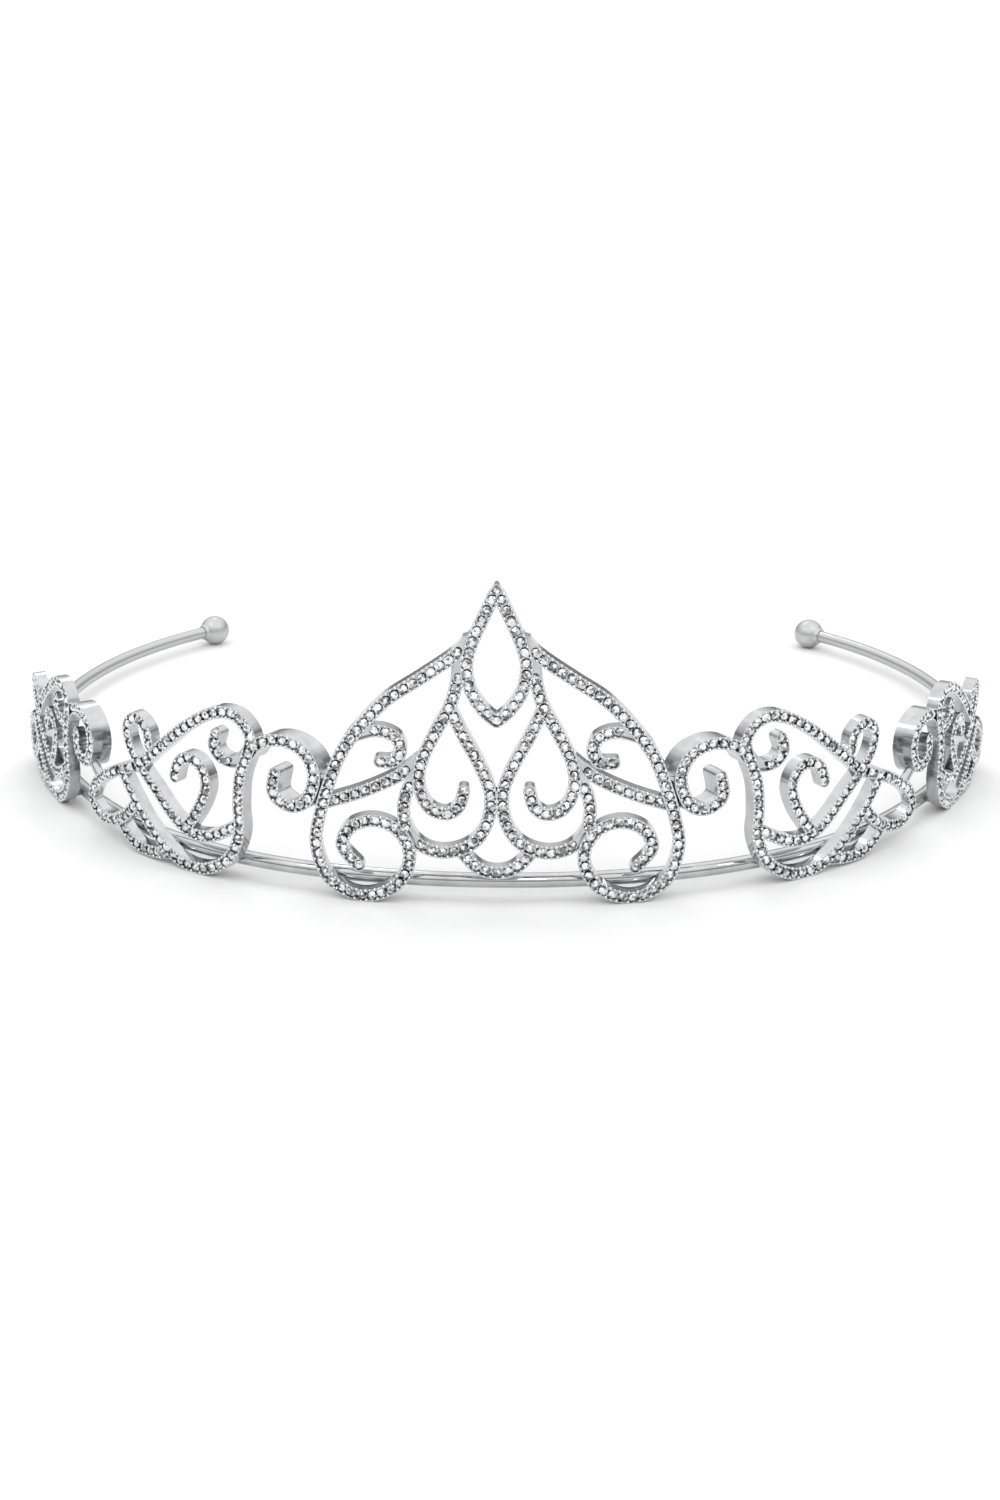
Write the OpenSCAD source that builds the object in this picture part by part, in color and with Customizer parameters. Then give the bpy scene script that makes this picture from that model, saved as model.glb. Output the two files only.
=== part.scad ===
// Bridal tiara: a springy round headband with five openwork scroll panels
// soldered along its front. Every scroll is a narrow channel strip that holds
// a single row of round stones.
// Millimetres, +Z up, standing on z = 0, wearer's face towards -Y.

/* [Headband rod] */
// Diameter of the round rod
rod_d = 2; // [1.6:0.1:2.6]
// Radius of the front arc, which the centre panel follows
front_r = 90; // [70:1:110]
// Radius of the shoulder arcs, which the shoulder panels follow
shoulder_r = 60; // [50:1:75]
// Radius of the side arcs, which the end panels follow
side_r = 84; // [65:1:105]
// Radius of the two tails behind the panels
tail_r = 57; // [50:1:70]
// Length of each tail, from the end panel to the middle of its ball
tail_len = 64; // [50:1:78]
// Diameter of the ball on each end of the rod
ball_d = 5; // [4:0.1:6.5]

/* [Scroll strips] */
// Width of a strip, seen from the front
strip_w = 1.65; // [1.4:0.05:2]
// Depth of a strip from front to back
strip_t = 1.6; // [1.3:0.1:2.4]
// Depth of a side panel's circle scroll, which is deeper than the other strips
circle_t = 2.6; // [1.6:0.1:3]
// Depth of the stone channel in the front of a strip
channel_depth = 0.5; // [0.3:0.05:0.7]
// Room between the rod and the backs of the strips, filled at the solder joints
solder_gap = 0.4; // [0.15:0.05:0.5]

/* [Stones] */
// Diameter of a stone
stone_d = 1.2; // [1:0.02:1.45]
// Distance from stone to stone along a strip
stone_pitch = 1.38; // [1.3:0.01:2]
// Room around a stone in its channel
stone_room = 0.03; // [0.02:0.01:0.06]

/* [Centre panel] */
// Width of the centre panel
centre_w = 48; // [40:0.5:58]
// Height of the centre panel
centre_h = 42.7; // [35:0.1:52]

/* [Shoulder panels] */
// Width of a shoulder panel, laid flat
shoulder_w = 41.4; // [34:0.1:50]
// Height of a shoulder panel
shoulder_h = 24.4; // [20:0.1:30]

/* [End panels] */
// Width of an end panel, laid flat
end_w = 34; // [28:0.1:41]
// Height of an end panel
end_h = 20; // [16.6:0.1:24]

/* [Joints between the panels] */
// Gap between the centre panel and a shoulder panel, bridged by a link
link_gap = 0.3; // [0.2:0.1:1]
// Length by which an end panel's scroll reaches back over the far loop before it
nest_len = 2.6; // [2:0.1:3]
// Diameter of a link
link_d = 1.3; // [1:0.1:1.6]
// Diameter of a solder joint between a strip and the rod
pad_d = 1.4; // [1:0.1:1.6]

/* [Hidden] */

$fn = 48;
eps = 0.01;
curve_steps = 5;                                    // straight steps between two outline points
cap_steps = 8;                                      // straight steps round a strip's end
rod_r = rod_d/2;
ball_r = ball_d/2;
rod_z = ball_r;                                     // the balls rest on the floor
back_off = rod_r + solder_gap;                      // rod centre line to the backs of the strips
face_off = back_off + strip_t;                      // rod centre line to the fronts of the strips
floor_off = face_off - channel_depth;               // rod centre line to the channel floors
mid_off = (back_off + face_off)/2;
channel_w = stone_d + 2*stone_room;
table_r = 0.3*stone_d;                              // flat on the front of a stone
girdle_z = 0.6*channel_depth;                       // channel floor to a stone's widest line
rim_bite = 0.1;                                     // how far a stone may run into a neighbour's rim
deepest = 15;                                       // how far a bent panel's ends sweep back

// ---------------------------------------------------------------- outlines
// Each strip is its centre line and which of its two ends are free: a free end is
// round, and any other end is flat and stops on the centre line of a neighbour.
// x runs from the panel's foot away from the middle of the tiara, and y is the
// height above the lowest centre line.
no_free = [false, false];
free_end = [false, true];
free_start = [true, false];

// Centre panel, right half: 41 high and 46.2 wide between its outermost centre lines
centre_span = [46.2, 41];
marquise_line = [[[0, 41], [1.7, 37.3], [3.1, 34], [3.7, 31], [3.1, 28], [1.6, 25.6], [0, 24.2]],
    [true, true]];
arch_line = [[[3.1, 35.2], [5, 32.8], [9.5, 29.5], [13.6, 26.6], [17, 22.9], [19.6, 19],
    [21.2, 14.9], [22.5, 10.5], [23.1, 6.6], [21.9, 2.4], [19.2, 0.4], [16.4, 0], [13.2, 1.4],
    [11.3, 4.2], [11.2, 7.2], [13, 9.7], [15.9, 10.4], [18.6, 9.2], [19.7, 6.6], [17.6, 4.1]],
    free_end];
hook_line = [[[4.7, 32.6], [4.9, 29.3], [5.8, 26], [7.7, 22.4], [9.4, 18.6], [9.7, 15.4],
    [8.5, 12.6], [6.3, 11.8], [4.7, 12.9], [4.1, 15]], free_end];
teardrop_line = [[[5.8, 26], [4.2, 22.4], [2.2, 18.6], [0.8, 14.8], [1.1, 11], [3, 7.9],
    [6.4, 6.6], [9.6, 7.4], [11.5, 10.2], [11.5, 13.9], [9.7, 17.6]], no_free];
branch_line = [[[22.1, 12.2], [17, 14.2], [12.4, 16.6], [9.2, 19.2]], no_free];
curl_line = [[[18, 21.6], [15, 22.5], [12.7, 21.9], [11.9, 20.2], [12.8, 18.6], [14.6, 18.4]],
    free_end];
scallop_line = [[[-4.6, 6.9], [-2.4, 4.6], [0, 3.9], [2.4, 4.6], [4.6, 6.9]], no_free];

// Side panels: 22.8 high and 39.6 wide, with the foot at x = 0
side_span = [39.6, 22.8];
side_near = 19.3;                                   // foot to the circle scroll's near side
stem_line = [[[-10.3, 17.6], [-9, 14], [-8.6, 10], [-8.6, 6.4], [-6.9, 2.6], [-3.6, 0.4], [0, 0],
    [3.4, 1.2], [7.2, 4.2], [10, 7.4], [12.4, 10.6]], no_free];
cross_bar_line = [[[6.2, 15.6], [6.6, 17.8], [8.6, 18.9], [10.5, 17.4], [10.1, 14.6], [7.9, 11.9],
    [5.4, 9.6], [2, 6.3], [-1.2, 4.8], [-4.6, 5.3], [-8.6, 7.6]], free_start];
leaf_line = [[[-10.1, 17.1], [-10.8, 20], [-8.8, 22.5], [-5.4, 22.4], [-1, 19.9], [3.4, 16.4],
    [8.2, 12.4]], no_free];
circle_line = [[[-10.5, 17.5], [-12.2, 19.4], [-15.4, 20.1], [-18.2, 18.7], [-19.3, 15.6],
    [-18, 12.1], [-15.7, 11.3], [-13.7, 12.8], [-14.1, 15.6]], free_end];
small_curl_line = [[[-10.6, 18.2], [-8.6, 16.3], [-6.4, 16.4], [-5.2, 17.8], [-5.7, 19.6]],
    free_end];
large_curl_line = [[[0.2, 5.2], [-2.4, 8.8], [-3.7, 12.2], [-2.8, 14.8], [-0.8, 15.4],
    [0.9, 14.3], [1.7, 12.2]], free_end];
far_loop_line = [[[8, 12.3], [12.2, 10.8], [16.6, 8.5], [19.7, 6], [20.3, 3.6], [17.8, 2.3],
    [14.6, 2.7], [11.8, 4.3], [9.4, 6.7]], no_free];
low_loop_line = [[[13.4, 3.2], [11.8, 1.4], [9.2, 0.3], [6.2, 0.4], [3, 1]], no_free];
// Where the links meet the centre lines: arch to circle scroll, and far loop to the
// next panel's circle scroll
arch_link = [20.7, 16.4];
circle_link = [-side_near, 15.6];
loop_link = [18.3, 7.3];
nest_link = [-17.6, 11.8];

// ---------------------------------------------------------------- curves
function catmull(a, b, c, d, t) =
    0.5*(2*b + (c - a)*t + (2*a - 5*b + 4*c - d)*t*t + (3*b - a - 3*c + d)*t*t*t);
function smooth(p) = let (n = len(p)) concat(
    [for (i = [0:n - 2], k = [0:curve_steps - 1])
        catmull(p[max(i - 1, 0)], p[i], p[i + 1], p[min(i + 2, n - 1)], k/curve_steps)],
    [p[n - 1]]);
function unit(v) = v/norm(v);
function left_of(v) = [-v.y, v.x];
function along(p, i) = unit(p[min(i + 1, len(p) - 1)] - p[max(i - 1, 0)]);

// Outline of a strip of width w along its centre line: free ends are round, and flat
// ends run on by reach
function round_end(p, i, w) = [for (k = [0:cap_steps]) let (a = 180*k/cap_steps,
    out = i == 0 ? -along(p, i) : along(p, i)) p[i] + w/2*(sin(a)*out - cos(a)*left_of(out))];
function flat_end(p, i, w, reach) = let (out = i == 0 ? -along(p, i) : along(p, i))
    [p[i] + reach*out - w/2*left_of(out), p[i] + reach*out + w/2*left_of(out)];
function strip_outline(strip, w, reach = 0) =
    let (p = strip[0], last = len(p) - 1) concat(
        [for (i = [1:last - 1]) p[i] - w/2*left_of(along(p, i))],
        strip[1][1] ? round_end(p, last, w) : flat_end(p, last, w, reach),
        [for (i = [last - 1:-1:1]) p[i] + w/2*left_of(along(p, i))],
        strip[1][0] ? round_end(p, 0, w) : flat_end(p, 0, w, reach));

// A design stretched to a panel's real size, its lowest strip standing on z = 0
function fitted_point(q, span, w, h) =
    [q.x*(w - strip_w)/span.x, q.y*(h - strip_w)/span.y + strip_w/2];
function fitted(strip, span, w, h) =
    [[for (q = smooth(strip[0])) fitted_point(q, span, w, h)], strip[1]];
function centre_fit(strip) = fitted(strip, centre_span, centre_w, centre_h);
function shoulder_fit(strip) = fitted(strip, side_span, shoulder_w, shoulder_h);
function end_fit(strip) = fitted(strip, side_span, end_w, end_h);
function mirrored(strip) = [[for (q = strip[0]) [-q.x, q.y]], strip[1]];

// ---------------------------------------------------------------- headband path
// Rod length that lies behind a strip standing at x on a panel bent to radius r
function behind(x, r) = r*asin(x/(r + mid_off))*PI/180;
function shoulder_x(x) = x*(shoulder_w - strip_w)/side_span.x;
function end_x(x) = x*(end_w - strip_w)/side_span.x;
centre_edge = arch_link.x*(centre_w - strip_w)/centre_span.x + strip_w/2;
side_far = side_span.x - side_near;

front_len = behind(centre_edge, front_r) + link_gap/2;
shoulder_at = front_len + link_gap/2
    + behind(shoulder_x(side_near) + strip_w/2, shoulder_r);
shoulder_end = shoulder_at + behind(shoulder_x(side_far) + strip_w/2, shoulder_r);
end_at = shoulder_end - nest_len + behind(end_x(side_near) + strip_w/2, side_r);
shoulder_len = shoulder_end - nest_len/2 - front_len;
side_len = end_at + behind(end_x(side_far) + strip_w/2, side_r) - front_len - shoulder_len;

// Arc table: radius, length, heading where it starts, centre
function deg(len, r) = len/r*180/PI;
h1 = deg(front_len, front_r);
h2 = h1 + deg(shoulder_len, shoulder_r);
h3 = h2 + deg(side_len, side_r);
h4 = h3 + deg(tail_len, tail_r);
function towards(h) = [sin(h), -cos(h)];
c1 = [0, front_r];
c2 = c1 + (front_r - shoulder_r)*towards(h1);
c3 = c2 + (shoulder_r - side_r)*towards(h2);
c4 = c3 + (side_r - tail_r)*towards(h3);
rod_end = c4 + tail_r*towards(h4);
shoulder_heading = h1 + deg(shoulder_at - front_len, shoulder_r);
end_heading = h2 + deg(end_at - front_len - shoulder_len, side_r);

// The origin is under the middle of the whole tiara
origin_y = (rod_end.y + ball_r - face_off)/2;

// ---------------------------------------------------------------- placing
module stand() { translate([0, -origin_y, 0]) children(); }
module on_side(side) { if (side == "left") mirror([1, 0, 0]) children(); else children(); }
// Puts a panel's own frame on an arc: origin on the rod line, +X along it, -Y outwards
module on_arc(centre, r, heading) {
    stand() translate(centre) rotate(heading) translate([0, -r, 0]) children();
}
module on_front() { on_arc(c1, front_r, 0) children(); }
module on_shoulder(side) {
    on_side(side) on_arc(c2, shoulder_r, shoulder_heading) children();
}
module on_end(side) { on_side(side) on_arc(c3, side_r, end_heading) children(); }

// Bent sheet between two offsets from the rod line, tall enough for every panel
module bent_sheet(r, from_off, to_off) {
    tall = max(centre_h, shoulder_h, end_h) + 2;
    translate([0, r, -1]) difference() {
        cylinder(r = r + to_off, h = tall, $fn = 180);
        translate([0, 0, -1]) cylinder(r = r + from_off, h = tall + 2, $fn = 180);
    }
}
module pushed_out() {
    rotate([90, 0, 0]) translate([0, 0, -deepest]) linear_extrude(height = deepest + face_off + 1)
        children();
}

// Bends a flat shape to radius r behind the face line, and cuts the stone channel
module bent_strip(r, depth = strip_t) {
    color("silver") difference() {
        intersection() {
            pushed_out() children(0);
            bent_sheet(r, face_off - depth, face_off);
        }
        intersection() {
            pushed_out() children(1);
            bent_sheet(r, floor_off, face_off + 2);
        }
    }
}
// A strip that stops against its neighbours, the cutters
module strip(strip, r, cutters = [], depth = strip_t) {
    bent_strip(r, depth) {
        difference() {
            polygon(strip_outline(strip, strip_w));
            for (c = cutters) polygon(strip_outline(c, strip_w));
        }
        polygon(strip_outline(strip, channel_w, strip_w/2));
    }
}

// ---------------------------------------------------------------- stones
function unrolled(q, r) = [r*asin(q.x/r)*PI/180, q.y];
function run_lengths(p, r) = [for (i = 0, s = 0; i < len(p);
    s = s + (i + 1 < len(p) ? norm(unrolled(p[i + 1], r) - unrolled(p[i], r)) : 0), i = i + 1) s];
function at_run(p, runs, s) = let (i = max([for (k = [0:len(p) - 2]) if (runs[k] <= s) k]),
    t = (s - runs[i])/(runs[i + 1] - runs[i])) p[i] + t*(p[i + 1] - p[i]);
function apart(q, strip) = min([for (c = strip[0]) norm(c - q)]);
function is_clear(q, cutters, gap) = min([gap + 1, for (c = cutters) apart(q, c)]) > gap;

// Places of the stones on a strip: evenly spaced, left out where a neighbour covers them
function stone_places(strip, r, cutters) = let (line = strip[0],
    runs = run_lengths(line, r + face_off), whole = runs[len(runs) - 1],
    n = floor(whole/stone_pitch)) [for (k = [0:n])
        let (q = at_run(line, runs, min(whole*k/n, whole - eps)))
        if (is_clear(q, cutters, (strip_w + stone_d)/2 - rim_bite)) q];

module stone() {
    rotate_extrude($fn = 24) polygon([[0, eps], [table_r, eps],
        [stone_d/2, girdle_z], [table_r, channel_depth], [0, channel_depth]]);
}
module stones(strip, r, cutters = []) {
    for (q = stone_places(strip, r, cutters)) {
        translate([0, r, q.y]) rotate(asin(q.x/(r + face_off))) translate([0, -r - floor_off, 0])
            rotate([90, 0, 0]) color("white") stone();
    }
}

// ---------------------------------------------------------------- headband
module rod_arc(centre, r, from, span) {
    translate([centre.x, centre.y, rod_z]) rotate(from - 90)
        rotate_extrude(angle = span, $fn = 120) translate([r, 0]) circle(d = rod_d);
}
// One bend of the rod, a hair short of its neighbours
module bend(centre, r, from, to) {
    hair = deg(eps, r);
    rod_arc(centre, r, from + hair, to - from - 2*hair);
}
// Straight core that runs through the place where two bends meet
module bend_core(centre, r, heading) {
    at = centre + r*towards(heading);
    translate([at.x, at.y, rod_z]) rotate(heading) rotate([0, 90, 0])
        cylinder(d = rod_d - 5*eps, h = rod_d, center = true);
}
module rod_half() {
    bend(c2, shoulder_r, h1, h2);
    bend(c3, side_r, h2, h3);
    bend(c4, tail_r, h3, h4);
    bend_core(c2, shoulder_r, h1);
    bend_core(c3, side_r, h2);
    bend_core(c4, tail_r, h3);
}
module headband_rod() {
    color("silver") stand() {
        bend(c1, front_r, -h1, h1);
        rod_half();
        mirror([1, 0, 0]) rod_half();
    }
}
// The rod end seats in a hole that reaches the middle of the ball
module ball(side) {
    color("lightgray") on_side(side) stand() difference() {
        translate([rod_end.x, rod_end.y, rod_z]) sphere(d = ball_d);
        rod_arc(c4, tail_r, h3, h4 - h3);
    }
}

// ---------------------------------------------------------------- centre panel
marquise = centre_fit(marquise_line);
arch = centre_fit(arch_line);
hook = centre_fit(hook_line);
teardrop = centre_fit(teardrop_line);
branch = centre_fit(branch_line);
curl = centre_fit(curl_line);
scallop = centre_fit(scallop_line);

module marquise_shape(w) {
    polygon(strip_outline(marquise, w));
    polygon(strip_outline(mirrored(marquise), w));
}
module centre_marquise() {
    on_front() bent_strip(front_r) {
        marquise_shape(strip_w);
        marquise_shape(channel_w);
    }
}
module centre_scallop() {
    on_front() strip(scallop, front_r, [teardrop, mirrored(teardrop)]);
}
module centre_part(part, side) {
    on_side(side) on_front() {
        if (part == "arch") strip(arch, front_r, [marquise]);
        if (part == "hook") strip(hook, front_r, [marquise, arch]);
        if (part == "teardrop") {
            difference() {
                strip(teardrop, front_r, [hook, arch]);
                translate([-strip_w, -2*face_off, 0]) cube([strip_w, 2*face_off, centre_h]);
            }
        }
        if (part == "branch") strip(branch, front_r, [arch, hook, teardrop]);
        if (part == "curl") strip(curl, front_r, [arch]);
    }
}
module centre_half_stones() {
    stones(arch, front_r, [marquise]);
    stones(hook, front_r, [marquise, arch]);
    stones(teardrop, front_r, [hook, arch]);
    stones(branch, front_r, [arch, hook, teardrop]);
    stones(curl, front_r, [arch]);
}
// The two halves of the marquise share the stones at its tips
marquise_tips = [for (q = [marquise[0][0], marquise[0][len(marquise[0]) - 1]]) [[q]]];
module centre_stones() {
    on_front() {
        stones(marquise, front_r);
        mirror([1, 0, 0]) stones(marquise, front_r, marquise_tips);
        stones(scallop, front_r, [teardrop, mirrored(teardrop)]);
        centre_half_stones();
        mirror([1, 0, 0]) centre_half_stones();
    }
}

// ---------------------------------------------------------------- side panels
// One design, stretched to the size of the shoulder panels and of the end panels.
// It returns a strip's line first, then the lines of the strips it stops against.
function side_part(part, fit) = let (
    stem = fit(stem_line), cross = fit(cross_bar_line), leaf = fit(leaf_line),
    circle = fit(circle_line), far = fit(far_loop_line))
    part == "stem" ? [stem] :
    part == "cross_bar" ? [cross, stem] :
    part == "leaf_arch" ? [leaf, stem, cross] :
    part == "circle_scroll" ? [circle, stem, leaf] :
    part == "small_curl" ? [fit(small_curl_line), stem, leaf, circle] :
    part == "large_curl" ? [fit(large_curl_line), cross] :
    part == "far_loop" ? [far, stem, cross, leaf] :
    [fit(low_loop_line), stem, far];
side_parts = ["stem", "cross_bar", "leaf_arch", "circle_scroll", "small_curl", "large_curl",
    "far_loop", "low_loop"];
function tail_of(v) = [for (i = [1:1:len(v) - 1]) v[i]];

module side_strip(part, r, fit) {
    lines = side_part(part, fit);
    strip(lines[0], r, tail_of(lines), part == "circle_scroll" ? circle_t : strip_t);
}
module side_stones(r, fit) {
    for (part = side_parts) {
        lines = side_part(part, fit);
        stones(lines[0], r, tail_of(lines));
    }
}
module shoulder_part(part, side) {
    on_shoulder(side) {
        if (part == "stones") side_stones(shoulder_r, function (strip) shoulder_fit(strip));
        else side_strip(part, shoulder_r, function (strip) shoulder_fit(strip));
    }
}
module end_part(part, side) {
    on_end(side) {
        if (part == "stones") side_stones(side_r, function (strip) end_fit(strip));
        else side_strip(part, side_r, function (strip) end_fit(strip));
    }
}

// ---------------------------------------------------------------- joints
// Solder between the rod and the back of a strip that crosses it at x
module solder_pad(x, r) {
    translate([0, r, rod_z]) rotate(asin(x/(r + back_off))) translate([0, -r, 0]) difference() {
        rotate([90, 0, 0]) cylinder(d = pad_d, h = back_off);
        rotate([0, 90, 0]) cylinder(d = rod_d, h = 2*pad_d, center = true);
    }
}
// Where a line crosses the height of the rod
function crossing(line) = [for (i = [0:len(line) - 2])
    if ((line[i].y - rod_z)*(line[i + 1].y - rod_z) < 0) (line[i].x + line[i + 1].x)/2];
module solder_joints() {
    color("lightgray") for (side = ["left", "right"]) {
        on_side(side) on_front() for (x = crossing(arch[0])) solder_pad(x, front_r);
        on_shoulder(side) for (x = crossing(shoulder_fit(stem_line)[0])) solder_pad(x, shoulder_r);
        on_end(side) for (x = crossing(end_fit(stem_line)[0])) solder_pad(x, side_r);
    }
}

// Short round links: centre panel to shoulder panel, and shoulder panel to end panel.
// A point of a panel, half way through its depth, in the tiara's own frame
function panel_point(centre, r, heading, q) = let (a = heading + asin(q.x/(r + mid_off)))
    [centre.x + (r + mid_off)*sin(a), centre.y - (r + mid_off)*cos(a), q.y];
module bar(from, to) {
    v = to - from;
    translate(from) rotate([0, acos(v.z/norm(v)), atan2(v.y, v.x)]) cylinder(d = link_d, h = norm(v));
}
function front_point(q) =
    panel_point(c1, front_r, 0, fitted_point(q, centre_span, centre_w, centre_h));
function shoulder_point(q) = panel_point(c2, shoulder_r, shoulder_heading,
    fitted_point(q, side_span, shoulder_w, shoulder_h));
function end_point(q) =
    panel_point(c3, side_r, end_heading, fitted_point(q, side_span, end_w, end_h));
module front_link() {
    difference() {
        stand() bar(front_point(arch_link), shoulder_point(circle_link));
        on_front() pushed_out() polygon(strip_outline(arch, strip_w));
        on_shoulder("right") pushed_out()
            polygon(strip_outline(shoulder_fit(circle_line), strip_w));
    }
}
module rear_link() {
    difference() {
        stand() bar(shoulder_point(loop_link), end_point(nest_link));
        on_shoulder("right") pushed_out()
            polygon(strip_outline(shoulder_fit(far_loop_line), strip_w));
        on_end("right") pushed_out() polygon(strip_outline(end_fit(circle_line), strip_w));
    }
}
module panel_links() {
    color("gray") for (side = ["left", "right"]) on_side(side) {
        front_link();
        rear_link();
    }
}

headband_rod();
ball("left");  // ball_left
ball("right");  // ball_right
solder_joints();
panel_links();
centre_marquise();
centre_scallop();
centre_stones();
for (part = ["arch", "hook", "teardrop", "branch", "curl"], side = ["left", "right"])
    centre_part(part, side);
for (part = concat(side_parts, ["stones"]), side = ["left", "right"]) {
    shoulder_part(part, side);
    end_part(part, side);
}
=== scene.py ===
import math

import bmesh
import bpy
import numpy as np
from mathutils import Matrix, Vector
from mathutils.bvhtree import BVHTree


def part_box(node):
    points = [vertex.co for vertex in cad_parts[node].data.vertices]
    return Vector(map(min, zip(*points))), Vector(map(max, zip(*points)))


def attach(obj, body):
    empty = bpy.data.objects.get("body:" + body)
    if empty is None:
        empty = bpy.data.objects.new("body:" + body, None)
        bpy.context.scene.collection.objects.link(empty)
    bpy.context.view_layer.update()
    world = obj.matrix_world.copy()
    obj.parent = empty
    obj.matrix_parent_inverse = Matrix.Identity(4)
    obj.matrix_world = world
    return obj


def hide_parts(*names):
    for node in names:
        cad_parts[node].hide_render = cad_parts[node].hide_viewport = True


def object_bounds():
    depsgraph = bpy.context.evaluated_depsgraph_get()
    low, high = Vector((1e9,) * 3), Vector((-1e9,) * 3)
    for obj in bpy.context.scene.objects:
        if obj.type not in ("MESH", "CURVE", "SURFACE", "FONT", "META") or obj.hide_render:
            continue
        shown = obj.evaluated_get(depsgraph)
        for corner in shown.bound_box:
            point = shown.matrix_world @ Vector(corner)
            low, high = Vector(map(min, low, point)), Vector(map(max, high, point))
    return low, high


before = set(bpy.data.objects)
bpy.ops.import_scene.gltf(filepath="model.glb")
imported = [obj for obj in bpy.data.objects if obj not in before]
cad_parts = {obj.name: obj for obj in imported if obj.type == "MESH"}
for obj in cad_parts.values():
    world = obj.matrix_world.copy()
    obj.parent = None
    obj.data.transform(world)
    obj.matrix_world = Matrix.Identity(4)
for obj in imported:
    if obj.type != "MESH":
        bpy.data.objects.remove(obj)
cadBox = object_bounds()
boxLow, boxHigh = cadBox
print("tiara: frame loaded,", len(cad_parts), "CAD nodes")

scene = bpy.context.scene
scene.view_settings.view_transform = "Standard"


# A node socket that takes part in plain sums
class Socket:
    def __init__(self, recipe, output):
        self.recipe, self.output = recipe, output

    def sum(self, operation, first, second):
        return self.recipe.node("ShaderNodeMath", {"operation": operation}, {0: first, 1: second})

    def __add__(self, other):
        return self.sum("ADD", self, other)

    def __sub__(self, other):
        return self.sum("SUBTRACT", self, other)

    def __rsub__(self, other):
        return self.sum("SUBTRACT", other, self)

    def __mul__(self, other):
        return self.sum("MULTIPLY", self, other)

    __radd__, __rmul__ = __add__, __mul__


# A node tree, with one way of adding any node to it
class Recipe:
    def __init__(self, tree):
        self.tree = tree

    def node(self, kind, settings=None, sockets=None, out=0):
        made = self.tree.nodes.new(kind)
        for name, value in (settings or {}).items():
            if name == "stops":
                stops = made.color_ramp.elements
                stops[0].position, stops[0].color = value[0]
                stops[1].position, stops[1].color = value[-1]
                for place, colour in value[1:-1]:
                    stops.new(place).color = colour
            else:
                setattr(made, name, value)
        for name, value in (sockets or {}).items():
            if isinstance(value, Socket):
                self.tree.links.new(value.output, made.inputs[name])
            else:
                made.inputs[name].default_value = value
        return Socket(self, made.outputs[out]) if made.outputs else None

    def ramp(self, value, *stops):
        return self.node("ShaderNodeValToRGB", {"stops": stops}, {"Fac": value})

    def blend(self, amount, first, second):
        return self.node("ShaderNodeMix", {"data_type": "RGBA"}, {0: amount, 6: first, 7: second}, 2)


def grey(level, blue=0.0):
    return (level * (1 - blue), level * (1 - blue * 0.4), level, 1)


# Angles in degrees, lens and sensor in millimetres, all else in metres
cameraPlace = {
    "azimuth": 1.2, "elevation": 20.0, "distance": 0.285, "lens": 50.96, "sensor": 36,
    "targetBehindFront": 0.0203, "targetHeight": 0.014, "clipNear": 0.01, "clipFar": 100,
}
turn, rise = math.radians(cameraPlace["azimuth"]), math.radians(cameraPlace["elevation"])
target = Vector((0, boxLow.y + cameraPlace["targetBehindFront"], cameraPlace["targetHeight"]))
towardsCamera = Vector((math.sin(turn) * math.cos(rise), -math.cos(turn) * math.cos(rise), math.sin(rise)))
cameraData = bpy.data.cameras.new("studioCamera")
cameraData.lens = cameraPlace["lens"]
cameraData.sensor_width, cameraData.sensor_fit = cameraPlace["sensor"], "AUTO"
cameraData.clip_start, cameraData.clip_end = cameraPlace["clipNear"], cameraPlace["clipFar"]
camera = bpy.data.objects.new("studioCamera", cameraData)
camera.location = target + towardsCamera * cameraPlace["distance"]
camera.rotation_euler = (-towardsCamera).to_track_quat("-Z", "Y").to_euler()
scene.collection.objects.link(camera)
scene.camera = camera
print("tiara: camera set")


# An empty material, and the recipe that fills it
def newMaterial(name):
    made = bpy.data.materials.new(name)
    made.use_nodes = True
    made.node_tree.nodes.clear()
    return made, Recipe(made.node_tree)


def shaded(recipe, surface):
    recipe.node("ShaderNodeOutputMaterial", None, {"Surface": surface})


# Broad clouds vary the colour, and a fine grain breaks up the shine
metalGrain = {
    "cloudShare": 0.12, "cloudDetail": 3.0, "cloudSoftness": 0.55, "darkUpTo": 0.35, "lightFrom": 0.65,
    "fineDetail": 4.0, "fineSoftness": 0.6, "fineShare": 0.6, "bumpStrength": 0.35,
}


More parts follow.
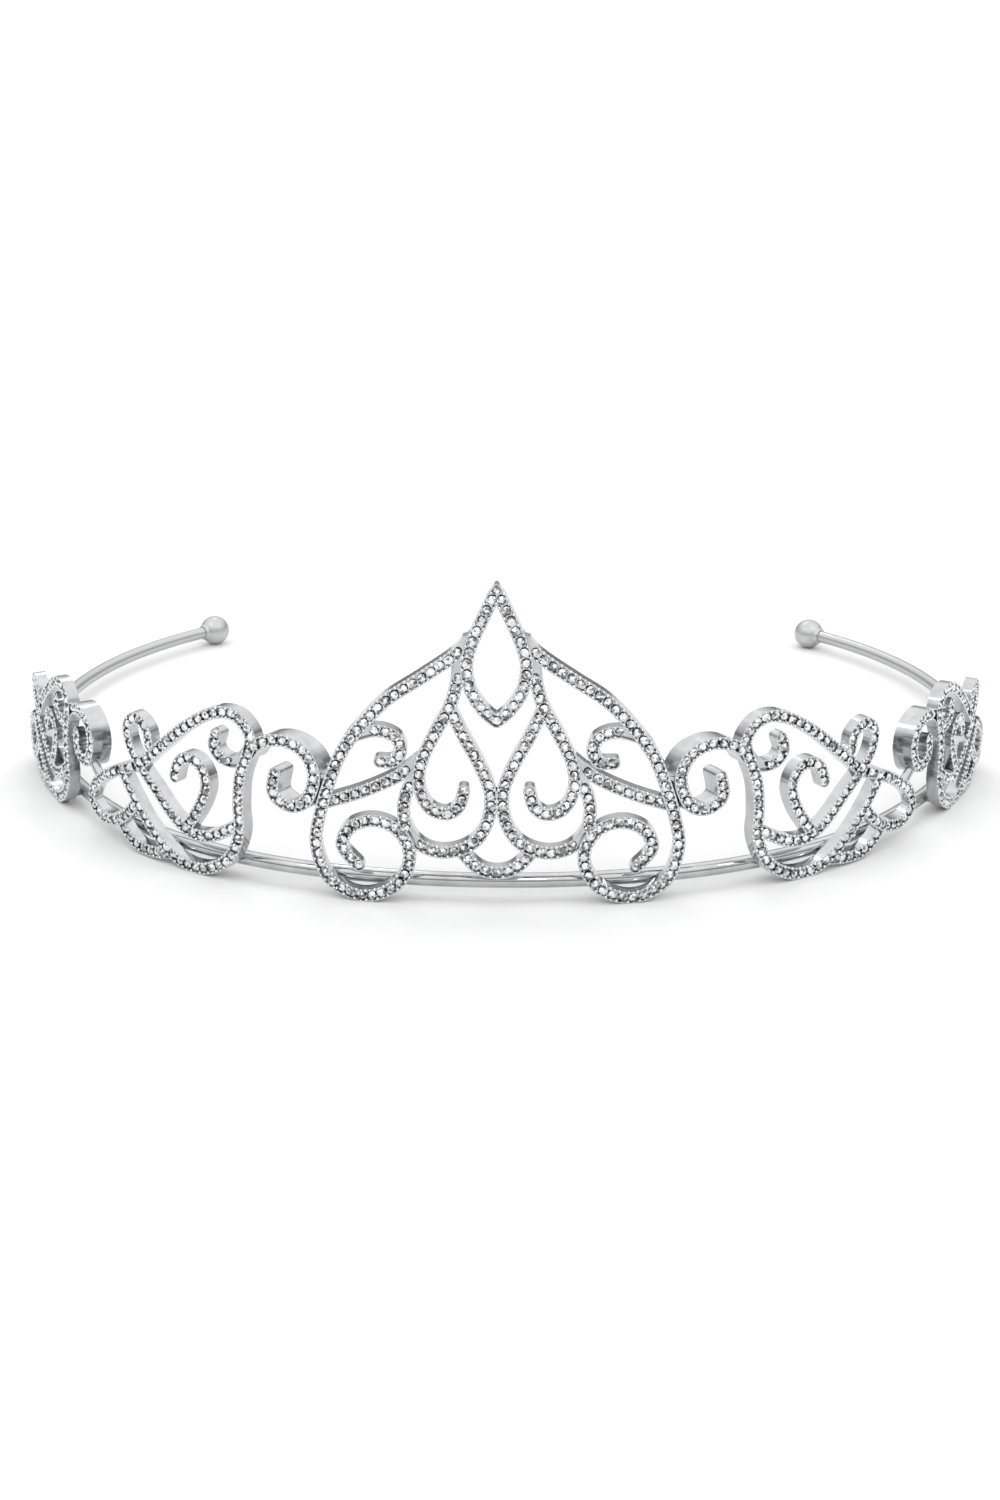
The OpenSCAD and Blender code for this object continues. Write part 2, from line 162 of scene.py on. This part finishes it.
def polishedMetal(name, light, dark, rough, roughSpread, grain, bumpDepth, satin=None):
    made, recipe = newMaterial(name)
    place = recipe.node("ShaderNodeTexCoord", None, None, 3)
    cloud = recipe.node("ShaderNodeTexNoise", None,
                        {"Vector": place, "Scale": grain * metalGrain["cloudShare"],
                         "Detail": metalGrain["cloudDetail"], "Roughness": metalGrain["cloudSoftness"]})
    fine = recipe.node("ShaderNodeTexNoise", None,
                       {"Vector": place, "Scale": grain,
                        "Detail": metalGrain["fineDetail"], "Roughness": metalGrain["fineSoftness"]})
    patches = recipe.ramp(cloud, (metalGrain["darkUpTo"], grey(0)), (metalGrain["lightFrom"], grey(1)))
    colour = recipe.blend(patches, dark, light)
    roughness = rough + (cloud - 0.5) * roughSpread + (fine - 0.5) * roughSpread * metalGrain["fineShare"]
    if satin:  # polish gives way to satin along the tails
        apart = recipe.node("ShaderNodeSeparateXYZ", None, {0: place}, 1)
        share = recipe.node("ShaderNodeMapRange", {"interpolation_type": "SMOOTHSTEP"},
                            {0: apart, 1: satin["from"], 2: satin["to"], 3: 0.0, 4: 1.0})
        roughness = roughness + share * satin["rough"]
        colour = recipe.blend(share, colour, satin["colour"])
    bump = recipe.node("ShaderNodeBump", None, {
        "Strength": metalGrain["bumpStrength"], "Distance": bumpDepth, "Height": fine})
    shaded(recipe, recipe.node("ShaderNodeBsdfPrincipled", None, {
        "Base Color": colour, "Metallic": 1.0, "Roughness": roughness, "Normal": bump}))
    return made


metalLook = {  # grain counts per metre, bump depths and satin places in metres
    "strip": {"light": grey(0.57, 0.02), "dark": grey(0.47, 0.02), "rough": 0.12, "roughSpread": 0.08,
              "grain": 4000.0, "bumpDepth": 0.000012},
    # painted highlight: the beads get a lighter copy of the strip metal, so the shaded gaps between stones
    # read bright
    "bead": {"light": grey(0.84, 0.03), "dark": grey(0.68, 0.03), "rough": 0.14, "roughSpread": 0.06,
             "grain": 6000.0, "bumpDepth": 0.000008},
    "rod": {"light": grey(0.57, 0.02), "dark": grey(0.47, 0.02), "rough": 0.06, "roughSpread": 0.05,
            "grain": 3000.0, "bumpDepth": 0.000010,
            "satin": {"from": 0.0, "to": 0.030, "rough": 0.28, "colour": grey(0.53, 0.01)}},
    "ball": {"light": grey(0.58, 0.01), "dark": grey(0.51, 0.01), "rough": 0.42, "roughSpread": 0.08,
             "grain": 5000.0, "bumpDepth": 0.000014},
    # painted shade: the solder's dark grey colour stands in for the shade in the gaps where the panels join
    "solder": {"light": grey(0.34, 0.01), "dark": grey(0.22, 0.01), "rough": 0.36, "roughSpread": 0.20,
               "grain": 2600.0, "bumpDepth": 0.00004},
}
stripMetal = polishedMetal("polishedStripMetal", **metalLook["strip"])
beadHighlightMetal = polishedMetal("beadPaintedHighlightMetal", **metalLook["bead"])
rodMetal = polishedMetal("polishedRodMetal", **metalLook["rod"])
ballMetal = polishedMetal("satinBallMetal", **metalLook["ball"])
solderShadeMetal = polishedMetal("solderPaintedShadeMetal", **metalLook["solder"])


stoneLook = {  # painted reflections: small dark, cool and bright flecks in the stones' colour stand in for the facets' dark reflections, cool reflections and glints
    "facetScale": 2500.0, "dark": grey(0.22, 0.12), "paintedCoolReflection": grey(0.74, 0.12), "paintedGlint": grey(1.0, 0.01),
    "darkUpTo": 0.20, "paintedCoolAt": 0.30, "paintedGlintFrom": 0.62,
    "metallic": 0.6, "rough": 0.04, "roughSpread": 0.06, "bending": 2.2, "clearness": 0.4,
}


def cutStoneMaterial(name):
    made, recipe = newMaterial(name)
    place = recipe.node("ShaderNodeTexCoord", None, None, 3)
    cells = recipe.node("ShaderNodeTexVoronoi", {"feature": "F1"},
                        {"Vector": place, "Scale": stoneLook["facetScale"]}, 1)
    level = recipe.node("ShaderNodeSeparateColor", None, {0: cells}, 0)
    # painted reflections and glints: dark flecks paint dark facet reflections, pale bluish flecks paint cool
    # reflections, white flecks paint glints
    colour = recipe.ramp(level, (0.0, stoneLook["dark"]), (stoneLook["darkUpTo"], stoneLook["dark"]),
                         (stoneLook["paintedCoolAt"], stoneLook["paintedCoolReflection"]),
                         (stoneLook["paintedGlintFrom"], stoneLook["paintedGlint"]), (1.0, stoneLook["paintedGlint"]))
    shaded(recipe, recipe.node("ShaderNodeBsdfPrincipled", None, {
        "Base Color": colour, "Metallic": stoneLook["metallic"],
        "Roughness": stoneLook["rough"] + level * stoneLook["roughSpread"],
        "IOR": stoneLook["bending"], "Transmission Weight": stoneLook["clearness"]}))
    return made


stoneGlass = cutStoneMaterial("clearCutStone")
print("tiara: finishes made")


# Smooth copies of the scroll strips, links and solder: weld in metres, corner in degrees
smoothing = {"mergeWithin": 0.000002, "cornerAngle": 32.0}


def finishedPiece(name, data, slotName, *nodes):
    made = bpy.data.objects.new(name, data)
    scene.collection.objects.link(made)
    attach(made, "root")
    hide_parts(*nodes)
    return made


# The top of the centre panel, measured down from the tip and out from the middle
crest = {"tipLength": 0.0013, "tipShare": 0.50, "joinBelowTip": 0.0066, "joinReach": 0.00338}


# Narrows the rounded top of the centre panel towards a point
def pointedTip(mesh):
    start = boxHigh.z - crest["tipLength"]
    for vert in mesh.verts:
        if vert.co.z > start:
            share = (vert.co.z - start) / crest["tipLength"]
            vert.co.x *= 1 - (1 - crest["tipShare"]) * share


# Brings the end of an arch in to the side of the pointed loop
def flowingJoin(mesh):
    for vert in mesh.verts:
        if vert.co.z > boxHigh.z - crest["joinBelowTip"] and abs(vert.co.x) > crest["joinReach"]:
            vert.co.x = math.copysign(crest["joinReach"], vert.co.x)


def smoothCopy(node, material, slotName, reshape=None):
    mesh = bmesh.new()
    mesh.from_mesh(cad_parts[node].data)
    bmesh.ops.remove_doubles(mesh, verts=mesh.verts, dist=smoothing["mergeWithin"])
    if reshape:
        reshape(mesh)
    bmesh.ops.dissolve_degenerate(mesh, edges=mesh.edges, dist=smoothing["mergeWithin"])
    corner = math.radians(smoothing["cornerAngle"])
    for face in mesh.faces:
        face.smooth = True
    for edge in mesh.edges:
        edge.smooth = len(edge.link_faces) == 2 and edge.calc_face_angle(0) < corner
    data = bpy.data.meshes.new(node + "_smooth")
    mesh.to_mesh(data)
    mesh.free()
    data.materials.append(material)
    return finishedPiece(node + "_smooth", data, slotName, node)


stoneNodes = [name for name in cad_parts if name.endswith("_stones")]
plainNodes = {"headband_rod", "ball_left", "ball_right", "solder_joints", "panel_links"}
for node in sorted(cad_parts):
    if node not in plainNodes and node not in stoneNodes:
        reshape = {"centre_marquise": pointedTip, "centre_arch_left": flowingJoin,
                   "centre_arch_right": flowingJoin}.get(node)
        smoothCopy(node, stripMetal, "strip", reshape)
smoothCopy("solder_joints", solderShadeMetal, "solder")
smoothCopy("panel_links", stripMetal, "strip")
print("tiara: strips smoothed")


# The headband rod is swept along four arcs on each side
rod = {
    "radius": 0.001, "sides": 24, "stepDegrees": 0.75, "behindFace": 0.0030, "fewestSteps": 2,
    # arc radius, then the angle it turns through
    "arcs": [(0.090, 13.6393), (0.060, 37.7806), (0.084, 21.8619), (0.057, 64.3321)],
}


def rodHalf():
    place, heading, points = Vector((0, boxLow.y + rod["behindFace"], 0)), 0.0, []
    points.append(place.copy())
    for radius, turned in rod["arcs"]:
        steps = max(rod["fewestSteps"], round(turned / rod["stepDegrees"]))
        centre = place + radius * Vector((-math.sin(heading), math.cos(heading), 0))
        for step in range(1, steps + 1):
            angle = heading + math.radians(turned) * step / steps
            points.append(centre + radius * Vector((math.sin(angle), -math.cos(angle), 0)))
        heading += math.radians(turned)
        place = points[-1].copy()
    return points, heading


def geometryTree(name, inputs):
    tree = bpy.data.node_groups.new(name, "GeometryNodeTree")
    tree.interface.new_socket("Geometry", in_out="INPUT", socket_type="NodeSocketGeometry")
    for label, value in inputs.items():
        kind = "NodeSocketInt" if isinstance(value, int) else "NodeSocketFloat"
        tree.interface.new_socket(label, in_out="INPUT", socket_type=kind).default_value = value
    tree.interface.new_socket("Geometry", in_out="OUTPUT", socket_type="NodeSocketGeometry")
    recipe = Recipe(tree)
    given = tree.nodes.new("NodeGroupInput")
    sockets = {output.name: Socket(recipe, output) for output in given.outputs if output.name}
    return tree, recipe, sockets


def closeTree(recipe, geometry, material):
    whole = recipe.node("GeometryNodeRealizeInstances", None, {0: geometry})
    done = recipe.node("GeometryNodeSetMaterial", None, {"Geometry": whole, "Material": material})
    recipe.node("NodeGroupOutput", None, {0: done})


# Runs a tree on a mesh and keeps the result as a plain mesh
def grown(name, data, tree, values):
    source = bpy.data.objects.new(name, data)
    scene.collection.objects.link(source)
    modifier = source.modifiers.new("grow", "NODES")
    modifier.node_group = tree
    for item in tree.interface.items_tree:
        if item.in_out == "INPUT" and item.name in values:
            modifier[item.identifier] = values[item.name]
    bpy.context.view_layer.update()
    evaluated = source.evaluated_get(bpy.context.evaluated_depsgraph_get())
    result = bpy.data.meshes.new_from_object(evaluated)
    bpy.data.objects.remove(source)
    result.name = name
    return result


def sweepTree():
    tree, recipe, given = geometryTree("sweptRod", {"Rod radius": 0.001, "Sides": 24})
    line = recipe.node("GeometryNodeMeshToCurve", None, {"Mesh": given["Geometry"]})
    ring = recipe.node("GeometryNodeCurvePrimitiveCircle", {"mode": "RADIUS"},
                       {"Resolution": given["Sides"], "Radius": given["Rod radius"]})
    tube = recipe.node("GeometryNodeCurveToMesh", None,
                       {"Curve": line, "Profile Curve": ring, "Fill Caps": True})
    soft = recipe.node("GeometryNodeSetShadeSmooth", None, {"Geometry": tube, "Shade Smooth": True})
    closeTree(recipe, soft, rodMetal)
    return tree


rightLine, endHeading = rodHalf()
rodHeight = sum(c.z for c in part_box("headband_rod")) / 2
wholeLine = [Vector((-p.x, p.y, rodHeight)) for p in reversed(rightLine[1:])]
wholeLine += [Vector((p.x, p.y, rodHeight)) for p in rightLine]
lineMesh = bpy.data.meshes.new("rodLine")
lineMesh.from_pydata(wholeLine, [(i, i + 1) for i in range(len(wholeLine) - 1)], [])
rodMesh = grown("headband_rod_swept", lineMesh, sweepTree(),
                {"Rod radius": rod["radius"], "Sides": rod["sides"]})
finishedPiece("headband_rod_swept", rodMesh, "rod", "headband_rod")
print("tiara: rod swept")

# Ball ends, each turned with a short collar where the rod enters
ballEnd = {
    "radius": 0.0025, "collarRadius": 0.00135, "collarLength": 0.0005,
    "straightShare": 0.7, "lipShare": 0.9, "rings": 28, "sides": 48,
}


def turnedBall(side):
    sign = -1 if side == "left" else 1
    radius, sides = ballEnd["radius"], ballEnd["sides"]
    place = Vector((sign * rightLine[-1].x, rightLine[-1].y, rodHeight))
    back = -Vector((sign * math.cos(endHeading), math.sin(endHeading), 0))  # along the rod, out of the ball
    across, up = Vector((-back.y, back.x, 0)), Vector((0, 0, 1))
    entry = math.asin(ballEnd["collarRadius"] / radius)
    profile = []
    for ring in range(1, ballEnd["rings"]):
        angle = math.pi - (math.pi - entry) * ring / (ballEnd["rings"] - 1)
        profile.append((radius * math.cos(angle), radius * math.sin(angle)))
    top = profile[-1][0]
    profile += [(top + ballEnd["collarLength"] * ballEnd["straightShare"], ballEnd["collarRadius"]),
                (top + ballEnd["collarLength"], ballEnd["collarRadius"] * ballEnd["lipShare"])]
    mesh = bmesh.new()
    rings = []
    for along, reach in profile:
        angles = [2 * math.pi * k / sides for k in range(sides)]
        rings.append([mesh.verts.new(place + back * along + reach * (math.cos(a) * across + math.sin(a) * up))
                      for a in angles])
    for low, high in zip(rings, rings[1:]):
        for k in range(sides):
            n = (k + 1) % sides
            mesh.faces.new((low[k], low[n], high[n], high[k]))
    pole = mesh.verts.new(place - back * radius)
    for k in range(sides):
        mesh.faces.new((pole, rings[0][(k + 1) % sides], rings[0][k]))
    mesh.faces.new(list(reversed(rings[-1])))
    bmesh.ops.recalc_face_normals(mesh, faces=mesh.faces)
    for face in mesh.faces:
        face.smooth = len(face.verts) <= 4  # all but the flat end of the collar
    data = bpy.data.meshes.new("ball_%s_turned" % side)
    mesh.to_mesh(data)
    mesh.free()
    data.materials.append(ballMetal)
    finishedPiece("ball_%s_turned" % side, data, "ball", "ball_" + side)


for side in ("left", "right"):
    turnedBall(side)
print("tiara: ball ends turned")

# Cut stones, and the beads that hold them
stone = {
    "diameter": 0.00122, "tableShare": 0.42, "crownHeight": 0.00024, "pavilionDepth": 0.00046,
    "facets": 8, "lean": 9.0, "seed": 4, "pitch": 0.00138, "girdleBelowFace": 0.00016,
    "seatBelowFace": 0.00025, "neighbourShare": 1.25, "weldWithin": 0.000001,
}
neighbourReach = stone["pitch"] * stone["neighbourShare"]  # stones nearer than this share a strip
bead = {
    "radius": 0.00025, "acrossShare": 0.74, "sink": 0.00009, "sides": 8, "rings": 6, "halfWidth": 0.000825,
}
grain = {"radius": 0.00017, "acrossShare": 0.70, "sink": 0.00005}
filler = {
    "pitchShare": 0.92, "apartShare": 0.80, "reach": 3, "proud": 0.00008, "footing": 0.00045,
    "rayStart": 0.001, "rayLength": 0.0022,
}


# Centre and outward direction of every stone in a CAD stones node, in the order of its mesh
def stoneSeats(node):
    mesh = bmesh.new()
    mesh.from_mesh(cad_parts[node].data)
    bmesh.ops.remove_doubles(mesh, verts=mesh.verts, dist=smoothing["mergeWithin"])
    mesh.verts.ensure_lookup_table()
    seen, seats = set(), []
    for vert in mesh.verts:
        if vert.index in seen:
            continue
        island, queue = [], [vert]
        seen.add(vert.index)
        while queue:
            one = queue.pop()
            island.append(one.co.copy())
            for edge in one.link_edges:
                other = edge.other_vert(one)
                if other.index not in seen:
                    seen.add(other.index)
                    queue.append(other)
        points = np.array([tuple(p) for p in island])
        centre = (points.max(0) + points.min(0)) / 2
        axes = np.linalg.eigh(np.cov((points - centre).T))[1]
        outward = Vector(axes[:, 0])  # a stone is thinnest from front to back
        outward.z = 0
        outward.normalize()
        if outward.dot(Vector((centre[0], centre[1], 0))) < 0:
            outward.negate()
        seats.append((Vector(centre), outward))
    mesh.free()
    return seats


# Stones that carry a row on over the places where strips meet, wherever there is metal under them
def fillerSeats(seats, metal):
    found, pitch, foot = [], stone["pitch"], filler["footing"]

    def onMetal(place, outward):
        hit = metal.ray_cast(place + outward * filler["rayStart"], -outward, filler["rayLength"])
        return hit[0] is not None

    for i, (centre, outward) in enumerate(seats):
        for step in (-1, 1):
            j, other = i - step, i + step
            if not 0 <= j < len(seats) or (seats[j][0] - centre).length > neighbourReach:
                continue
            if 0 <= other < len(seats) and (seats[other][0] - centre).length < neighbourReach:
                continue
            ahead = (centre - seats[j][0]).normalized()
            across = outward.cross(ahead)
            for k in range(1, filler["reach"] + 1):
                place = centre + ahead * pitch * filler["pitchShare"] * k
                if min((place - c).length for c, *rest in seats + found) < pitch * filler["apartShare"]:
                    break
                edges = (across * foot, -across * foot, ahead * foot, -ahead * foot)
                if onMetal(place, outward) and all(onMetal(place + edge, outward) for edge in edges):
                    found.append((place, outward, ahead))
    return found


# The way the strip runs at each stone, and the middle of each gap between neighbours
def seatLines(seats):
    centres = np.array([tuple(c) for c, o in seats])
    gaps = np.linalg.norm(centres[:, None] - centres[None], axis=2)
    alongs, middles = [], []
    for i in range(len(seats)):
        near = [j for j in (i - 1, i + 1) if 0 <= j < len(seats) and gaps[i, j] < neighbourReach]
        if not near:
            near = [int(j) for j in np.argsort(gaps[i])[1:2]]
        line = sum(((seats[j][0] - seats[i][0]) * (1 if j > i else -1) for j in near), Vector())
        alongs.append(line.normalized())
        if i + 1 < len(seats) and gaps[i, i + 1] < neighbourReach:
            middles.append(((seats[i][0] + seats[i + 1][0]) / 2,
                            (seats[i][1] + seats[i + 1][1]).normalized(),
                            (seats[i + 1][0] - seats[i][0]).normalized()))
    return alongs, middles


def pointMesh(name, places, outwards, alongs):
    data = bpy.data.meshes.new(name)
    data.from_pydata(places, [], [])
    for label, vectors in (("outward", outwards), ("alongStrip", alongs)):
        data.attributes.new(label, "FLOAT_VECTOR", "POINT").data.foreach_set(
            "vector", np.array([tuple(v) for v in vectors], np.float32).ravel())
    return data


def seatRotation(recipe):
    outward, along = (
        recipe.node("GeometryNodeInputNamedAttribute", {"data_type": "FLOAT_VECTOR"}, {"Name": label})
        for label in ("outward", "alongStrip"))
    return recipe.node("FunctionNodeAxesToRotation", {"primary_axis": "Z", "secondary_axis": "X"},
                       {0: outward, 1: along})


def stoneTree():
    tree, recipe, given = geometryTree("cutStones", {
        "Stone radius": 0.0006, "Table radius": 0.0003, "Crown height": 0.0002, "Pavilion depth": 0.0005,
        "Facets": 8, "Lean": 0.05, "Seed": 1})
    crown = recipe.node("GeometryNodeMeshCone", {"fill_type": "NONE"}, {
        "Vertices": given["Facets"], "Radius Top": given["Table radius"],
        "Radius Bottom": given["Stone radius"], "Depth": given["Crown height"]})
    lift = recipe.node("ShaderNodeCombineXYZ", None, {"Z": given["Crown height"]})
    disc = recipe.node("GeometryNodeMeshCircle", {"fill_type": "NGON"},
                       {"Vertices": given["Facets"], "Radius": given["Table radius"]})
    table = recipe.node("GeometryNodeTransform", None, {"Geometry": disc, "Translation": lift})
    pavilion = recipe.node("GeometryNodeMeshCone", {"fill_type": "NONE"}, {
        "Vertices": given["Facets"], "Radius Top": given["Stone radius"],
        "Radius Bottom": 0.0, "Depth": given["Pavilion depth"]})
    drop = recipe.node("ShaderNodeCombineXYZ", None, {"Z": given["Pavilion depth"] * -1.0})
    lowered = recipe.node("GeometryNodeTransform", None, {"Geometry": pavilion, "Translation": drop})
    joined = recipe.node("GeometryNodeJoinGeometry")
    for part in (crown, table, lowered):
        recipe.tree.links.new(part.output, joined.output.node.inputs[0])
    cut = recipe.node("GeometryNodeMergeByDistance", None, {
        "Geometry": joined, "Distance": stone["weldWithin"]})
    chance = recipe.node("FunctionNodeRandomValue", {"data_type": "FLOAT_VECTOR"}, {
        0: (-1.0, -1.0, -math.pi), 1: (1.0, 1.0, math.pi), "Seed": given["Seed"]})
    limits = recipe.node("ShaderNodeCombineXYZ", None, {"X": given["Lean"], "Y": given["Lean"], "Z": 1.0})
    leaned = recipe.node("ShaderNodeVectorMath", {"operation": "MULTIPLY"}, {0: chance, 1: limits})
    turnedBy = recipe.node("FunctionNodeEulerToRotation", None, {0: leaned})
    rotation = recipe.node("FunctionNodeRotateRotation", {"rotation_space": "LOCAL"},
                           {0: seatRotation(recipe), 1: turnedBy})
    stones = recipe.node("GeometryNodeInstanceOnPoints", None,
                         {"Points": given["Geometry"], "Instance": cut, "Rotation": rotation})
    closeTree(recipe, stones, stoneGlass)
    return tree


def beadTree():
    tree, recipe, given = geometryTree("rimBeads", {
        "Bead radius": 0.0002, "Rim distance": 0.0006, "Sink": 0.0, "Sides": 8, "Rings": 6})
    ball = recipe.node("GeometryNodeMeshUVSphere", None, {
        "Segments": given["Sides"], "Rings": given["Rings"], "Radius": given["Bead radius"]})
    pair = recipe.node("GeometryNodeJoinGeometry")
    for sign in (-1.0, 1.0):
        spot = recipe.node("ShaderNodeCombineXYZ", None,
                           {"Y": given["Rim distance"] * sign, "Z": given["Sink"] * -1.0})
        moved = recipe.node("GeometryNodeTransform", None, {"Geometry": ball, "Translation": spot})
        recipe.tree.links.new(moved.output, pair.output.node.inputs[0])
    soft = recipe.node("GeometryNodeSetShadeSmooth", None, {"Geometry": pair, "Shade Smooth": True})
    beads = recipe.node("GeometryNodeInstanceOnPoints", None,
                        {"Points": given["Geometry"], "Instance": soft, "Rotation": seatRotation(recipe)})
    closeTree(recipe, beads, beadHighlightMetal)
    return tree


def beadPiece(name, tree, size, places, outwards, alongs):
    points = pointMesh(name + "_points", places, outwards, alongs)
    rim = bead["halfWidth"] - size["radius"] * size["acrossShare"]
    mesh = grown(name, points, tree, {
        "Bead radius": size["radius"], "Rim distance": rim,
        "Sink": size["sink"], "Sides": bead["sides"], "Rings": bead["rings"]})
    made = bpy.data.objects.new(name, mesh)
    scene.collection.objects.link(made)
    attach(made, "root")


# One search tree over all the strips of a panel
def metalOf(prefix):
    joined = bmesh.new()
    for node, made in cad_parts.items():
        if node.startswith(prefix) and node not in stoneNodes:
            joined.from_mesh(made.data)
    tree = BVHTree.FromBMesh(joined)
    joined.free()
    return tree


cutStones, rimBeads = stoneTree(), beadTree()
toFace, setCount = stone["seatBelowFace"], 0
for number, node in enumerate(sorted(stoneNodes)):
    seats = stoneSeats(node)
    alongs, middles = seatLines(seats)
    extra = fillerSeats(seats, metalOf(node[:-len("stones")]))
    lift = toFace - stone["girdleBelowFace"]
    places = [c + o * lift for c, o in seats] + [c + o * (lift + filler["proud"]) for c, o, a in extra]
    outwards = [o for c, o in seats] + [o for c, o, a in extra]
    stonePoints = pointMesh(node + "_points", places, outwards, alongs + [a for c, o, a in extra])
    stoneMesh = grown(node + "_cut", stonePoints, cutStones, {
        "Stone radius": stone["diameter"] / 2, "Table radius": stone["diameter"] / 2 * stone["tableShare"],
        "Crown height": stone["crownHeight"], "Pavilion depth": stone["pavilionDepth"],
        "Facets": stone["facets"], "Lean": math.radians(stone["lean"]), "Seed": stone["seed"] + number})
    finishedPiece(node + "_cut", stoneMesh, "stones", node)
    middles += [(c - a * stone["pitch"] / 2, o, a) for c, o, a in extra]
    beadPiece(node + "_beads", rimBeads, bead, [c + o * toFace for c, o, a in middles],
              [o for c, o, a in middles], [a for c, o, a in middles])
    beadPiece(node + "_grains", rimBeads, grain, [c + o * toFace for c, o in seats],
              [o for c, o in seats], alongs)
    setCount += len(places)
    print("tiara:", node, len(seats), "stones and", len(extra), "where strips meet")
print("tiara:", setCount, "stones set")

# Floor, sky and lights
studio = {
    "floorSize": 60.0, "floorGrey": 0.90, "floorMottle": 0.01, "floorRough": 0.7, "floorShine": 0.2,
    # height from straight down to straight up, then how bright the sky is there
    "sky": ((0.0, 0.80), (0.49, 0.28), (0.55, 0.28), (0.675, 0.85), (0.80, 1.38), (1.0, 1.38)),
    "backdrop": 0.98, "mottleScale": 6.0, "mottleDetail": 2.0,
    "sparkPower": 0.12, "sparkSize": 0.06, "sparkAim": (0, 0, 0.02),
    "sparks": ((-0.35, -0.30, 0.55), (0.40, -0.25, 0.45), (0.05, -0.55, 0.40), (-0.1, 0.4, 0.5)),
}


def paleFloor():
    made, recipe = newMaterial("paleFloor")
    place = recipe.node("ShaderNodeTexCoord", None, None, 3)
    cloud = recipe.node("ShaderNodeTexNoise", None, {
        "Vector": place, "Scale": studio["mottleScale"], "Detail": studio["mottleDetail"]})
    darker, paler = (grey(studio["floorGrey"] + sign * studio["floorMottle"]) for sign in (-1, 1))
    colour = recipe.blend(cloud, darker, paler)
    shaded(recipe, recipe.node("ShaderNodeBsdfPrincipled", None, {
        "Base Color": colour, "Roughness": studio["floorRough"], "Specular IOR Level": studio["floorShine"]}))
    return made


half = studio["floorSize"] / 2
floorData = bpy.data.meshes.new("studioFloor")
floorCorners = [(-half, -half, 0), (half, -half, 0), (half, half, 0), (-half, half, 0)]
floorData.from_pydata(floorCorners, [], [(0, 1, 2, 3)])
floorData.materials.append(paleFloor())
floor = bpy.data.objects.new("studioFloor", floorData)
scene.collection.objects.link(floor)

# Metal mirrors a dark rim and a bright top, while the camera sees an even pale backdrop
world = bpy.data.worlds.new("softStudio")
world.use_nodes = True
world.node_tree.nodes.clear()
sky = Recipe(world.node_tree)
direction = sky.node("ShaderNodeTexCoord", None, None, 0)
height = sky.node("ShaderNodeSeparateXYZ", None, {0: direction}, 2)
glow = sky.ramp(height * 0.5 + 0.5, *[(place, grey(level)) for place, level in studio["sky"]])
seen = sky.node("ShaderNodeLightPath")
pale = sky.blend(seen, glow, grey(studio["backdrop"]))
backdrop = sky.node("ShaderNodeBackground", None, {"Color": pale, "Strength": 1.0})
sky.node("ShaderNodeOutputWorld", None, {"Surface": backdrop})
scene.world = world


def softLight(name, place, power, size, aim):
    data = bpy.data.lights.new(name, "AREA")
    data.energy, data.size, data.shape = power, size, "DISK"
    made = bpy.data.objects.new(name, data)
    made.location = place
    made.rotation_euler = (Vector(aim) - Vector(place)).to_track_quat("-Z", "Y").to_euler()
    scene.collection.objects.link(made)


for number, place in enumerate(studio["sparks"]):
    softLight("sparkLight%d" % number, place, studio["sparkPower"], studio["sparkSize"], studio["sparkAim"])
print("tiara: studio lit")
